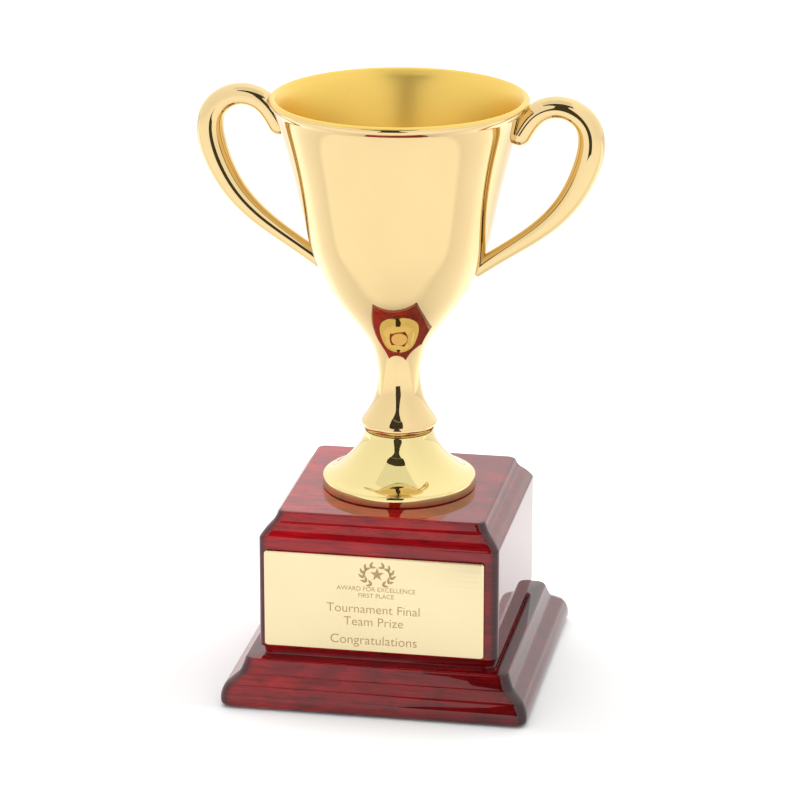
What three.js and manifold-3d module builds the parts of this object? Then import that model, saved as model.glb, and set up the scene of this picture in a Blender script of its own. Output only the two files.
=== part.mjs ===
// Cup trophy: a two-handled metal cup on a flared foot, bolted to a moulded wooden base.
// Millimetres, +Z up. The origin is the centre of the underside. The handles lie along X,
// and the name plate is on the front, which faces -Y.

import * as THREE from 'three';
import { mergeVertices } from 'three/addons/utils/BufferGeometryUtils.js';
import Module from 'manifold-3d';

// ---------- driving dimensions ----------

// Space left between pieces that are cut to each other, and between flat faces that meet.
const FIT_GAP = 0.3;
const FACE_GAP = 0.1;

// Segments round a turned piece, a fastener and a small hole.
const CUP_SEGMENTS = 36;
const FASTENER_SEGMENTS = 20;

// Steps round each soft corner of the wooden mouldings.
const CORNER_STEPS = 3;

// Felt under the base.
const FELT_THICKNESS = 0.5;
const FELT_HALF = 44.5;
const FELT_CORNER = 3;

// Plinth: half-widths and heights of its moulding, and of the neck that the block stands on.
const PLINTH_BOTTOM = FELT_THICKNESS + FACE_GAP;
const PLINTH_HALF = 48.9;
const PLINTH_UNDERSIDE_HALF = 47.6;
const PLINTH_COVE_HEAD_HALF = 42.3;
const PLINTH_LEDGE = 14.8;
const PLINTH_CORNER = 3.0;
const NECK_FOOT_HALF = 37.0;
const NECK_TOP_HALF = 37.2;
const NECK_TOP = 17.1;

// Block: a 3 inch square with a moulded top edge.
const BLOCK_HALF = 38.1;
const BLOCK_BOTTOM = NECK_TOP + FACE_GAP;
const BLOCK_SIDE_TOP = 53.7;
const BLOCK_MOULDING_HEAD_HALF = 33.1;
const BLOCK_TOP_HALF = 32.2;
const BLOCK_TOP = 61.3;
const BLOCK_CORNER = 3.0;

// Bores for the centre rod, and the counterbore for its nut.
const ROD_RADIUS = 3.0;
const ROD_BORE_RADIUS = ROD_RADIUS + 0.6;
const ROD_BOTTOM = 3.2;
const COUNTERBORE_RADIUS = 11.5;
const COUNTERBORE_ROOF = 11.2;

// M6 nuts and plain washers.
const NUT_ACROSS_FLATS = 10;
const NUT_HEIGHT = 5;
const WASHER_RADIUS = 8;
const LARGE_WASHER_RADIUS = 10;
const WASHER_THICKNESS = 1.4;

// Countersunk wood screws, plinth to block.
const SCREW_PLACE = 27;
const SCREW_SHANK_RADIUS = 1.75;
const SCREW_HEAD_RADIUS = 3.6;
const SCREW_HEAD_HEIGHT = 2.1;
const SCREW_LENGTH = 25;

// Name plate: 2 3/4 by 1 1/4 inches, on adhesive tape, set a little left of centre.
const PLATE_WIDTH = 69.85;
const PLATE_HEIGHT = 31.75;
const PLATE_THICKNESS = 0.7;
const PLATE_CORNER = 1.0;
const PLATE_CENTRE_X = -1.05;
const PLATE_CENTRE_Z = 34.3;
const TAPE_THICKNESS = 0.2;
const TAPE_INSET = 1.5;

// Foot: a flared bell with an upright rim, its edge slightly rounded, and the spigot that locates the stem.
const FOOT_BOTTOM = BLOCK_TOP + FACE_GAP;
const FOOT_RIM_RADIUS = 24.5;
const FOOT_RIM_TOP = 64.3;
const FOOT_RIM_ROUNDING = 0.5;
const FOOT_TOP = 80.0;
const FOOT_TOP_RADIUS = 11.0;
const FOOT_ROOF = 75.6;
const SPIGOT_RADIUS = 7.2;
const SPIGOT_HEIGHT = 1.3;

// Cup: stem and bowl.
const STEM_BOTTOM = FOOT_TOP + FACE_GAP;
const KNOP_RADIUS = 12.1;
const KNOP_WIDEST = 82.5;
const TAPPED_HOLE_TOP = 97;
const BOWL_FLOOR = 112.5;
const LIP_RADIUS = 40.65;
const LIP_WIDEST = 187.1;
const LIP_TOP = 188.3;

// Handles: how finely the bars are divided.
const HANDLE_SIDES = 14;
const HANDLE_STEPS = 34;

const STEEL = { color: 0xb9bcc0, roughness: 0.35, metalness: 1.0 };
const BRIGHT_GOLD = { color: 0xe6c27a, roughness: 0.12, metalness: 1.0 };
const LEMON_GOLD = { color: 0xdcc468, roughness: 0.12, metalness: 1.0 };
const PLATE_BRASS = { color: 0xecd9a0, roughness: 0.3, metalness: 1.0 };
const LACQUERED_WOOD = { color: 0x7d0f1c, roughness: 0.08, metalness: 0.0 };
const FELT = { color: 0x1c1f1d, roughness: 1.0, metalness: 0.0 };
const TAPE = { color: 0xd8d4c8, roughness: 0.8, metalness: 0.0 };

// ---------- solids ----------

const wasm = await Module();
wasm.setup();

/** Twice-used corners merged, folded triangles dropped, and every face turned outwards. */
function closed(geometry) {
  const bare = geometry.clone();
  bare.deleteAttribute('normal');
  bare.deleteAttribute('uv');
  const merged = mergeVertices(bare, 1e-4);
  const place = merged.getAttribute('position');
  const source = merged.getIndex().array;
  const corners = [];
  let volume = 0;
  const [a, b, c] = [new THREE.Vector3(), new THREE.Vector3(), new THREE.Vector3()];
  for (let i = 0; i < source.length; i += 3) {
    const [p, q, r] = [source[i], source[i + 1], source[i + 2]];
    if (p === q || q === r || r === p) continue;
    corners.push(p, q, r);
    a.fromBufferAttribute(place, p);
    b.fromBufferAttribute(place, q);
    c.fromBufferAttribute(place, r);
    volume += a.dot(b.cross(c));
  }
  if (volume < 0) corners.reverse();
  merged.setIndex(corners);
  return merged;
}

function solidOf(geometry) {
  const shape = closed(geometry);
  return new wasm.Manifold(new wasm.Mesh({
    numProp: 3,
    vertProperties: new Float32Array(shape.getAttribute('position').array),
    triVerts: new Uint32Array(shape.getIndex().array),
  }));
}

function geometryOf(solid) {
  const mesh = solid.getMesh();
  const geometry = new THREE.BufferGeometry();
  geometry.setAttribute('position', new THREE.BufferAttribute(new Float32Array(mesh.vertProperties), 3));
  geometry.setIndex(new THREE.BufferAttribute(new Uint32Array(mesh.triVerts), 1));
  return geometry;
}

/** The first geometry less all the others. */
function cut(geometry, ...tools) {
  let solid = solidOf(geometry);
  for (const tool of tools) solid = solid.subtract(solidOf(tool));
  return geometryOf(solid);
}

function common(first, second) {
  return geometryOf(solidOf(first).intersect(solidOf(second)));
}

// ---------- outlines ----------

const at = (radius, height) => new THREE.Vector2(radius, height);

/** Points of a smooth curve through the given ones. */
function smooth(points, divisions) {
  return new THREE.SplineCurve(points).getPoints(divisions);
}

/** Points of an arc about (radius, height), from one angle to the other in degrees. */
function arc(radius, height, size, from, to, divisions) {
  return Array.from({ length: divisions + 1 }, (_, i) => {
    const angle = THREE.MathUtils.degToRad(from + (to - from) * i / divisions);
    return at(radius + size * Math.cos(angle), height + size * Math.sin(angle));
  });
}

/** A solid of revolution about Z from an outline of (radius, height) points. */
function turned(outline, segments) {
  return new THREE.LatheGeometry(outline, segments).rotateX(Math.PI / 2);
}

/** A closed skin over rings of equally many points, with a pointed or flat cap at each end. */
function lofted(rings, firstTip, lastTip) {
  const sides = rings[0].length;
  const points = [...rings.flat(), firstTip, lastTip];
  const [first, last] = [points.length - 2, points.length - 1];
  const ring = (station, side) => station * sides + side % sides;
  const corners = [];
  for (let j = 0; j < sides; j += 1) {
    for (let s = 0; s + 1 < rings.length; s += 1) {
      corners.push(ring(s, j), ring(s, j + 1), ring(s + 1, j + 1));
      corners.push(ring(s, j), ring(s + 1, j + 1), ring(s + 1, j));
    }
    corners.push(first, ring(0, j + 1), ring(0, j));
    corners.push(last, ring(rings.length - 1, j), ring(rings.length - 1, j + 1));
  }
  const geometry = new THREE.BufferGeometry().setFromPoints(points);
  geometry.setIndex(corners);
  return geometry;
}

/** A square moulding about Z with soft corners, from an outline of (half-width, height) points. */
function moulded(outline, cornerRadius) {
  const rings = outline.map(({ x: half, y: height }) => {
    const corner = half - cornerRadius;
    return [[1, 1], [-1, 1], [-1, -1], [1, -1]].flatMap(([sx, sy], quarter) => (
      arc(0, 0, cornerRadius, quarter * 90, quarter * 90 + 90, CORNER_STEPS)
        .map((p) => new THREE.Vector3(sx * corner + p.x, sy * corner + p.y, height))
    ));
  });
  const [bottom, top] = [outline[0].y, outline.at(-1).y];
  return lofted(rings, new THREE.Vector3(0, 0, bottom), new THREE.Vector3(0, 0, top));
}

function cylinder(radius, from, to, segments = FASTENER_SEGMENTS) {
  return turned([at(0, from), at(radius, from), at(radius, to), at(0, to)], segments);
}

function roundedRectangle(halfWidth, halfHeight, corner) {
  const shape = new THREE.Shape();
  shape.moveTo(-halfWidth + corner, -halfHeight);
  shape.lineTo(halfWidth - corner, -halfHeight);
  shape.absarc(halfWidth - corner, -halfHeight + corner, corner, -Math.PI / 2, 0);
  shape.absarc(halfWidth - corner, halfHeight - corner, corner, 0, Math.PI / 2);
  shape.absarc(-halfWidth + corner, halfHeight - corner, corner, Math.PI / 2, Math.PI);
  shape.absarc(-halfWidth + corner, -halfHeight + corner, corner, Math.PI, Math.PI * 1.5);
  shape.closePath();
  return shape;
}

function slab(shape, thickness, curveSegments = 4) {
  return new THREE.ExtrudeGeometry(shape, { depth: thickness, bevelEnabled: false, curveSegments });
}

// ---------- cup ----------

/** The cup's outer side from the knop's underside to the lip's widest point. */
function cupOuterOutline() {
  const underKnop = smooth([
    at(10.8, STEM_BOTTOM),
    at(11.5, 80.9),
    at(11.95, 81.7),
    at(KNOP_RADIUS, KNOP_WIDEST),
    at(11.9, 83.3),
  ], 6);
  const stemAndBowl = smooth([
    at(11.3, 84.3),
    at(8.9, 88),
    at(7.4, 92.2),
    at(6.7, 98),
    at(7.3, 103.5),
    at(9.3, 109),
    at(13.8, 115),
    at(18.4, 121),
    at(22.2, 127),
    at(25.5, 134.2),
    at(28.1, 141.2),
    at(30.1, 150),
    at(33.4, 165),
    at(37.5, 180),
    at(39.9, 186),
  ], 30);
  return [...underKnop, ...stemAndBowl];
}

/** The bowl's inside from the lip down to the axis. */
function cupInnerOutline() {
  return smooth([
    at(38.0, 187.4),
    at(36.0, 183),
    at(31.1, 165.5),
    at(27.8, 150),
    at(25.6, 140.5),
    at(22.6, 133),
    at(18.5, 126),
    at(14.0, 119.5),
    at(8.0, 114.2),
    at(0, BOWL_FLOOR),
  ], 16);
}

function cupBody() {
  const lip = [at(LIP_RADIUS, LIP_WIDEST), at(40.3, 187.9), at(39.4, LIP_TOP), at(38.6, 188.1)];
  const outline = [at(0, STEM_BOTTOM), ...cupOuterOutline(), ...lip, ...cupInnerOutline()];
  const socketRoof = STEM_BOTTOM + SPIGOT_HEIGHT + FIT_GAP;
  const socket = cylinder(SPIGOT_RADIUS + FIT_GAP, STEM_BOTTOM - 1, socketRoof, 28);
  const tappedHole = cylinder(ROD_RADIUS + FIT_GAP, STEM_BOTTOM - 1, TAPPED_HOLE_TOP);
  return cut(turned(outline, CUP_SEGMENTS), socket, tappedHole);
}

/** The bowl's filled outer form, a fit gap larger, for trimming the handles to it. */
function bowlClearance() {
  const wall = cupOuterOutline().filter((p) => p.y > 110).map((p) => at(p.x + FIT_GAP, p.y));
  const top = LIP_TOP + 4;
  const lip = LIP_RADIUS + FIT_GAP;
  const outline = [at(0, wall[0].y), ...wall, at(lip, LIP_WIDEST), at(lip, top), at(0, top)];
  return turned(outline, CUP_SEGMENTS);
}

// ---------- handles ----------

/** The handle's centre line in the XZ plane, from inside the pad over the loop to the lower end. */
const HANDLE_LINE = new THREE.CatmullRomCurve3([
  [37.9, 178.2],
  [39.6, 180.9],
  [42.0, 183.9],
  [45.6, 186.2],
  [50.4, 187.0],
  [55.6, 185.2],
  [59.2, 181.2],
  [60.2, 175.8],
  [59.2, 169.8],
  [56.4, 162.6],
  [51.8, 155.2],
  [45.6, 148.8],
  [38.6, 143.5],
  [31.0, 138.4],
  [24.0, 133.6],
].map(([x, z]) => new THREE.Vector3(x, 0, z)), false, 'centripetal');

/** Half-widths across the handle along its length: [share of length, in its plane, along Y]. */
const HANDLE_SECTIONS = [
  [0, 3.9, 3.7],
  [0.1, 3.6, 3.5],
  [0.2, 3.5, 3.5],
  [0.3, 3.95, 3.85],
  [0.4, 4.5, 4.1],
  [0.55, 3.9, 3.7],
  [0.7, 3.2, 3.1],
  [0.85, 2.65, 2.6],
  [1, 2.6, 2.4],
];

function handleHalfWidths(share) {
  const next = Math.max(1, HANDLE_SECTIONS.findIndex(([s]) => s >= share));
  const [before, after] = [HANDLE_SECTIONS[next - 1], HANDLE_SECTIONS[next]];
  const t = THREE.MathUtils.smoothstep(share, before[0], after[0]);
  return [1, 2].map((i) => THREE.MathUtils.lerp(before[i], after[i], t));
}

/** A tapered oval bar along the centre line, with a domed pad end and a flat lower end. */
function handleBar() {
  const domeSteps = 5;
  const padRadius = HANDLE_SECTIONS[0][1];
  const stations = [];
  for (let i = 0; i < domeSteps; i += 1) {
    const angle = Math.PI / 2 * (i + 0.4) / domeSteps;
    stations.push({ share: 0, back: padRadius * Math.cos(angle), scale: Math.sin(angle) });
  }
  for (let i = 0; i <= HANDLE_STEPS; i += 1) stations.push({ share: i / HANDLE_STEPS, back: 0, scale: 1 });

  const rings = stations.map(({ share, back, scale }) => {
    const along = HANDLE_LINE.getTangentAt(share);
    const across = new THREE.Vector3(-along.z, 0, along.x);
    const centre = HANDLE_LINE.getPointAt(share).addScaledVector(along, -back);
    const [inPlane, alongY] = handleHalfWidths(share);
    return Array.from({ length: HANDLE_SIDES }, (_, side) => {
      const angle = 2 * Math.PI * side / HANDLE_SIDES;
      const point = centre.clone().addScaledVector(across, inPlane * scale * Math.cos(angle));
      point.y = alongY * scale * Math.sin(angle);
      return point;
    });
  });
  const padTip = HANDLE_LINE.getPointAt(0).addScaledVector(HANDLE_LINE.getTangentAt(0), -padRadius);
  return lofted(rings, padTip, HANDLE_LINE.getPointAt(1));
}

/** The right handle, trimmed to the bowl's wall where it is soldered on. */
function handleRight() {
  return cut(handleBar(), bowlClearance());
}

function mirroredInX(geometry) {
  return closed(geometry.clone().scale(-1, 1, 1));
}

// ---------- foot ----------

function foot() {
  const rounding = arc(FOOT_RIM_RADIUS - FOOT_RIM_ROUNDING, FOOT_RIM_TOP, FOOT_RIM_ROUNDING, 0, 64, 3);
  const outside = smooth([
    at(22.6, 65.5),
    at(20.8, 66.5),
    at(18.0, 68.8),
    at(14.9, 72.0),
    at(12.5, 75.4),
    at(11.5, 77.8),
    at(FOOT_TOP_RADIUS, FOOT_TOP),
  ], 14);
  const inside = smooth([
    at(22.3, 63.4),
    at(19.6, 65.6),
    at(15.9, 68.6),
    at(12.6, 72.0),
    at(10.6, FOOT_ROOF),
  ], 8);
  const outline = [
    at(22.3, FOOT_BOTTOM),
    at(FOOT_RIM_RADIUS, FOOT_BOTTOM),
    ...rounding,
    ...outside,
    at(SPIGOT_RADIUS, FOOT_TOP),
    at(SPIGOT_RADIUS, FOOT_TOP + SPIGOT_HEIGHT),
    at(ROD_RADIUS + FIT_GAP, FOOT_TOP + SPIGOT_HEIGHT),
    at(ROD_RADIUS + FIT_GAP, FOOT_ROOF),
    ...inside.reverse(),
    at(22.3, FOOT_BOTTOM),
  ];
  return turned(outline, CUP_SEGMENTS);
}

// ---------- fasteners ----------

function centreRod() {
  const chamfer = 0.6;
  const top = TAPPED_HOLE_TOP - FIT_GAP;
  return turned([
    at(0, ROD_BOTTOM),
    at(ROD_RADIUS - chamfer, ROD_BOTTOM),
    at(ROD_RADIUS, ROD_BOTTOM + chamfer),
    at(ROD_RADIUS, top - chamfer),
    at(ROD_RADIUS - chamfer, top),
    at(0, top),
  ], FASTENER_SEGMENTS);
}

function washer(radius, bottom) {
  const bore = ROD_RADIUS + FIT_GAP;
  const top = bottom + WASHER_THICKNESS;
  return turned([at(bore, bottom), at(radius, bottom), at(radius, top), at(bore, top), at(bore, bottom)], 28);
}

function nut(bottom) {
  const top = bottom + NUT_HEIGHT;
  const corner = NUT_ACROSS_FLATS / Math.sqrt(3);
  const chamfer = 0.5;
  const hexagon = turned([at(0, bottom), at(corner, bottom), at(corner, top), at(0, top)], 6);
  const rounding = turned([
    at(0, bottom),
    at(corner - chamfer * 1.5, bottom),
    at(corner + 0.05, bottom + chamfer),
    at(corner + 0.05, top - chamfer),
    at(corner - chamfer * 1.5, top),
    at(0, top),
  ], 24);
  return cut(common(hexagon, rounding), cylinder(ROD_RADIUS + FIT_GAP, bottom - 1, top + 1));
}

/** Outline of a countersunk screw from its head's flat face up to its point. */
function screwOutline(clearance) {
  const start = PLINTH_BOTTOM + 0.2;
  const head = start + SCREW_HEAD_HEIGHT;
  const tip = start + SCREW_LENGTH;
  return [
    at(0, start - clearance),
    at(SCREW_HEAD_RADIUS + clearance, start - clearance),
    at(SCREW_HEAD_RADIUS + clearance, start + 0.3),
    at(SCREW_SHANK_RADIUS + clearance, head),
    at(SCREW_SHANK_RADIUS + clearance, tip - 4),
    at(0, tip + clearance * 2),
  ];
}

const SCREW_PLACES = [[-1, -1], [1, -1], [1, 1], [-1, 1]].map(([x, y]) => [x * SCREW_PLACE, y * SCREW_PLACE]);

function screw() {
  const start = PLINTH_BOTTOM + 0.2;
  const slot = { length: 4.2, width: 0.9, depth: 1.2 };
  const arm = () => new THREE.BoxGeometry(slot.length, slot.width, slot.depth * 2).translate(0, 0, start);
  return cut(turned(screwOutline(0), FASTENER_SEGMENTS), arm(), arm().rotateZ(Math.PI / 2));
}

/** The four screws' spaces, opened downwards past the plinth's underside. */
function screwHoles() {
  return SCREW_PLACES.map(([x, y]) => {
    const outline = screwOutline(FIT_GAP);
    outline[0].y -= 1;
    outline[1].y -= 1;
    return turned(outline, FASTENER_SEGMENTS).translate(x, y, 0);
  });
}

// ---------- base ----------

function basePlinth() {
  const moulding = smooth([
    at(48.4, PLINTH_BOTTOM + 0.2),
    at(48.8, PLINTH_BOTTOM + 0.8),
    at(PLINTH_HALF, PLINTH_BOTTOM + 1.9),
    at(48.7, 4.6),
    at(48.25, 6.0),
    at(47.75, 7.0),
    at(46.9, 7.7),
    at(44.2, 9.65),
    at(43.45, 10.5),
    at(42.85, 11.9),
    at(PLINTH_COVE_HEAD_HALF, 13.6),
  ], 18);
  const ovoloRadius = 1.0;
  const ovolo = arc(PLINTH_COVE_HEAD_HALF - ovoloRadius, PLINTH_LEDGE - ovoloRadius, ovoloRadius, 0, 90, 3);
  const outline = [
    at(PLINTH_UNDERSIDE_HALF, PLINTH_BOTTOM),
    ...moulding,
    ...ovolo,
    at(NECK_FOOT_HALF, PLINTH_LEDGE),
    at(NECK_TOP_HALF, NECK_TOP),
  ];
  const bore = cylinder(ROD_BORE_RADIUS, 0, NECK_TOP + 2);
  const counterbore = cylinder(COUNTERBORE_RADIUS, 0, COUNTERBORE_ROOF, 32);
  return cut(moulded(outline, PLINTH_CORNER), bore, counterbore, ...screwHoles());
}

function baseBlock() {
  const ogee = smooth([
    at(37.95, BLOCK_SIDE_TOP + 0.8),
    at(37.5, 55.4),
    at(36.5, 56.45),
    at(35.2, 57.6),
    at(34.1, 58.8),
    at(33.4, 59.8),
  ], 8);
  const edgeRadius = BLOCK_MOULDING_HEAD_HALF - BLOCK_TOP_HALF;
  const edge = arc(BLOCK_TOP_HALF, BLOCK_TOP - edgeRadius, edgeRadius, 10, 90, 3);
  const outline = [
    at(BLOCK_HALF - 0.9, BLOCK_BOTTOM),
    at(BLOCK_HALF - 0.25, BLOCK_BOTTOM + 0.3),
    at(BLOCK_HALF, BLOCK_BOTTOM + 0.9),
    at(BLOCK_HALF, BLOCK_SIDE_TOP),
    ...ogee,
    ...edge,
  ];
  const bore = cylinder(ROD_BORE_RADIUS, 0, BLOCK_TOP + 2);
  return cut(moulded(outline, BLOCK_CORNER), bore, ...screwHoles());
}

function feltPad() {
  return slab(roundedRectangle(FELT_HALF, FELT_HALF, FELT_CORNER), FELT_THICKNESS);
}

// ---------- name plate ----------

/** Stands a slab that was drawn in XY upright in XZ, with its back at the given distance in front. */
function upright(geometry, backAt) {
  return geometry.rotateX(Math.PI / 2).translate(PLATE_CENTRE_X, backAt, PLATE_CENTRE_Z);
}

function plateTape() {
  const shape = roundedRectangle(PLATE_WIDTH / 2 - TAPE_INSET, PLATE_HEIGHT / 2 - TAPE_INSET, PLATE_CORNER);
  return upright(slab(shape, TAPE_THICKNESS), -BLOCK_HALF - FACE_GAP);
}

function namePlate() {
  const bevel = 0.25;
  const shape = roundedRectangle(PLATE_WIDTH / 2 - bevel, PLATE_HEIGHT / 2 - bevel, PLATE_CORNER - bevel);
  const plate = new THREE.ExtrudeGeometry(shape, {
    depth: PLATE_THICKNESS - 2 * bevel,
    bevelThickness: bevel,
    bevelSize: bevel,
    bevelSegments: 2,
    curveSegments: 3,
  });
  plate.translate(0, 0, bevel);
  return upright(plate, -BLOCK_HALF - FACE_GAP * 2 - TAPE_THICKNESS);
}

// ---------- assembly ----------

const trophy = new THREE.Group();

function add(name, geometry, finish) {
  const mesh = new THREE.Mesh(closed(geometry), new THREE.MeshStandardMaterial(finish));
  mesh.name = name;
  trophy.add(mesh);
  return mesh;
}

add('felt_pad', feltPad(), FELT);
add('base_plinth', basePlinth(), LACQUERED_WOOD);
add('base_block', baseBlock(), LACQUERED_WOOD);
SCREW_PLACES.forEach(([x, y], i) => {
  add(`base_screw_${i + 1}`, screw(), STEEL).position.set(x, y, 0);
});
add('plate_tape', plateTape(), TAPE);
add('name_plate', namePlate(), PLATE_BRASS);

add('foot', foot(), LEMON_GOLD);
add('cup_body', cupBody(), BRIGHT_GOLD);
const rightHandle = handleRight();
add('handle_right', rightHandle, BRIGHT_GOLD);
add('handle_left', mirroredInX(rightHandle), BRIGHT_GOLD);

const footWasherBottom = FOOT_ROOF - FACE_GAP - WASHER_THICKNESS;
const baseWasherBottom = COUNTERBORE_ROOF - FACE_GAP - WASHER_THICKNESS;
add('centre_rod', centreRod(), STEEL);
add('foot_washer', washer(WASHER_RADIUS, footWasherBottom), STEEL);
add('foot_nut', nut(footWasherBottom - FACE_GAP - NUT_HEIGHT), STEEL);
add('base_washer', washer(LARGE_WASHER_RADIUS, baseWasherBottom), STEEL);
add('base_nut', nut(baseWasherBottom - FACE_GAP - NUT_HEIGHT), STEEL);

export default trophy;
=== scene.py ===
"""The looks of the cup trophy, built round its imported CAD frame.

Shapes are drawn in millimetres from the place that the frame gives each node, and turned into metres
when their mesh is made. The cup is turned about Z, the handles lie along X, and the plate faces -Y.
"""

import math
import random

import bmesh
import bpy
import numpy as np
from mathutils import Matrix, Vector


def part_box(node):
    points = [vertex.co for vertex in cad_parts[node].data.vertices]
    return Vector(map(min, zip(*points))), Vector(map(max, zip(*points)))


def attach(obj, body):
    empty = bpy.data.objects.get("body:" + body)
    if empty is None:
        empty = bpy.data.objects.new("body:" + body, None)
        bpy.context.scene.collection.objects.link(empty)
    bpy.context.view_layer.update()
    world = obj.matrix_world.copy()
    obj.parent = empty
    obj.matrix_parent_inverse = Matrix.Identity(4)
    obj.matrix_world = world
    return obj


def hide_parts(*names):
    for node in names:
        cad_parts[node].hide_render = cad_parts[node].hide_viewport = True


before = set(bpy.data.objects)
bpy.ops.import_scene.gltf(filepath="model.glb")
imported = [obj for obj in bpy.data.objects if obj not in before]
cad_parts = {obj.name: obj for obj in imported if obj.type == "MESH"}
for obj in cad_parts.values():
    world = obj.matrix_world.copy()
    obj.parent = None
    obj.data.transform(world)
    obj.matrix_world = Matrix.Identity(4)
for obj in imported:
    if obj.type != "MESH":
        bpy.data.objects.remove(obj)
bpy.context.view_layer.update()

MM = 0.001
BODY = "root"


# ---------- places from the frame, in millimetres ----------

def corners(node):
    """The lowest and highest corner of a CAD node, in millimetres."""
    low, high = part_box(node)
    return low / MM, high / MM


CUP_LOW, CUP_HIGH = corners("cup_body")
FOOT_LOW, FOOT_HIGH = corners("foot")
BLOCK_LOW, BLOCK_HIGH = corners("base_block")
PLINTH_LOW, PLINTH_HIGH = corners("base_plinth")
FELT_LOW, FELT_HIGH = corners("felt_pad")
PLATE_LOW, PLATE_HIGH = corners("name_plate")


# ---------- outlines ----------

def smooth(points, steps=10):
    """Points of a curve without sudden bends that follows the given points and ends on the outer two."""
    given = np.array(points, float)
    pull = given.copy()
    pull[1:-1] -= (given[:-2] - 2 * given[1:-1] + given[2:]) / 6
    pull = np.vstack([2 * pull[0] - pull[1], pull, 2 * pull[-1] - pull[-2]])
    found = []
    for i in range(len(given) - 1):
        for t in np.linspace(0, 1, steps, endpoint=False):
            weights = ((1 - t) ** 3, 3 * t**3 - 6 * t**2 + 4, -3 * t**3 + 3 * t**2 + 3 * t + 1, t**3)
            found.append(np.dot(weights, pull[i:i + 4]) / 6)
    return [tuple(p) for p in found] + [tuple(given[-1])]


def arc(centre, radius, start, end, steps=8):
    """Points of an arc about a centre, from one angle to the other in degrees."""
    angles = np.radians(np.linspace(start, end, steps + 1))
    return [(centre[0] + radius * math.cos(a), centre[1] + radius * math.sin(a)) for a in angles]


def raised(outline, height):
    """The outline moved up."""
    return [(across, up + height) for across, up in outline]


# ---------- rings of points ----------

TURNED_SIDES = 160
CORNER_STEPS = 8


def turned(outline):
    """Rings about Z from an outline of (radius, height) points."""
    turns = np.linspace(0, 2 * math.pi, TURNED_SIDES, endpoint=False)
    return [[(r * math.cos(a), r * math.sin(a), z) for a in turns] for r, z in outline]


def rounded_square(half_x, half_y, corner, steps=CORNER_STEPS):
    """Points round a rectangle with round corners, anticlockwise from the +X side."""
    found = []
    for quarter, (sx, sy) in enumerate([(1, 1), (-1, 1), (-1, -1), (1, -1)]):
        centre = (sx * (half_x - corner), sy * (half_y - corner))
        found += arc(centre, corner, quarter * 90, quarter * 90 + 90, steps)
    return found


# A scale of painted shade on the wood: 0 on the front and back, painted shade darkest on the corners, and
# on the end faces the end grain's browner stain together with painted shade, with a step between on each
# side of a corner.
FRONT_EDGE_SHADE = 0.3
CORNER_SHADE = 0.55
END_EDGE_STAIN_AND_SHADE = 0.75
END_GRAIN_STAIN_AND_SHADE = 1.0
# How far the corner's painted shade reaches on to the flat beside it.
SHADE_REACH = 0.7


def shaded_square(half, corner):
    """A rounded square with a point more on each side of a corner, and at each point its value of painted
    shade, with the end grain's stain on the end faces.
    """
    spots, shades_and_end_grain = [], []
    ring = rounded_square(half, half, corner)
    across = CORNER_STEPS + 1
    for quarter in range(4):
        turn = ring[quarter * across:(quarter + 1) * across]
        a = math.radians(quarter * 90)
        before = (turn[0][0] + SHADE_REACH * math.sin(a), turn[0][1] - SHADE_REACH * math.cos(a))
        after = (turn[-1][0] - SHADE_REACH * math.cos(a), turn[-1][1] - SHADE_REACH * math.sin(a))
        spots += [before, *turn, after]
        # Painted shade on the corner and on the flat beside it; the end faces take the end grain's stain
        # and painted shade.
        turn_shades = [END_GRAIN_STAIN_AND_SHADE, END_EDGE_STAIN_AND_SHADE, *[CORNER_SHADE] * (across - 3),
                       FRONT_EDGE_SHADE, FRONT_EDGE_SHADE / 2, 0]
        shades_and_end_grain += turn_shades if quarter % 2 == 0 else turn_shades[::-1]
    return spots, shades_and_end_grain


def moulded(outline, corner, capped=2):
    """Rings of a square moulding about Z, from an outline of (half-width, height) points, and at each point
    of each ring its value of painted shade, with the end grain's stain on the end faces. The last rings, so
    many as capped says, have none."""
    squares = [shaded_square(half, corner) for half, _ in outline]
    rings = [[(x, y, z) for x, y in square] for (square, _), (_, z) in zip(squares, outline)]
    shades_and_end_grain = [values for _, values in squares]
    for i in range(1, capped + 1):
        shades_and_end_grain[-i] = [0] * len(shades_and_end_grain[-i])
    return rings, shades_and_end_grain


# ---------- meshes ----------

SHARP_ANGLE = math.radians(38)
WELD = 1e-4
# The mesh attribute that carries painted shade on the wood's corners and end faces, with the end grain's
# stain.
SHADE_AND_END_GRAIN = "wood_tone"


def piece_from(name, mesh, replaced=()):
    """A piece of the trophy that rides on its body and stands for the CAD nodes named."""
    piece = bpy.data.objects.new(name, mesh)
    bpy.context.scene.collection.objects.link(piece)
    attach(piece, BODY)
    if replaced:
        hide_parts(*replaced)
    return piece


def finished(mesh, shape, sharp=SHARP_ANGLE):
    """Writes a millimetre bmesh into a mesh in metres, welded, facing out and smoothly shaded."""
    bmesh.ops.remove_doubles(shape, verts=shape.verts, dist=WELD)
    bmesh.ops.dissolve_degenerate(shape, edges=shape.edges, dist=WELD)
    bmesh.ops.recalc_face_normals(shape, faces=shape.faces)
    bmesh.ops.scale(shape, vec=(MM, MM, MM), verts=shape.verts)
    shape.to_mesh(mesh)
    shape.free()
    mesh.shade_smooth()
    mesh.set_sharp_from_angle(angle=sharp)
    return mesh


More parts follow.
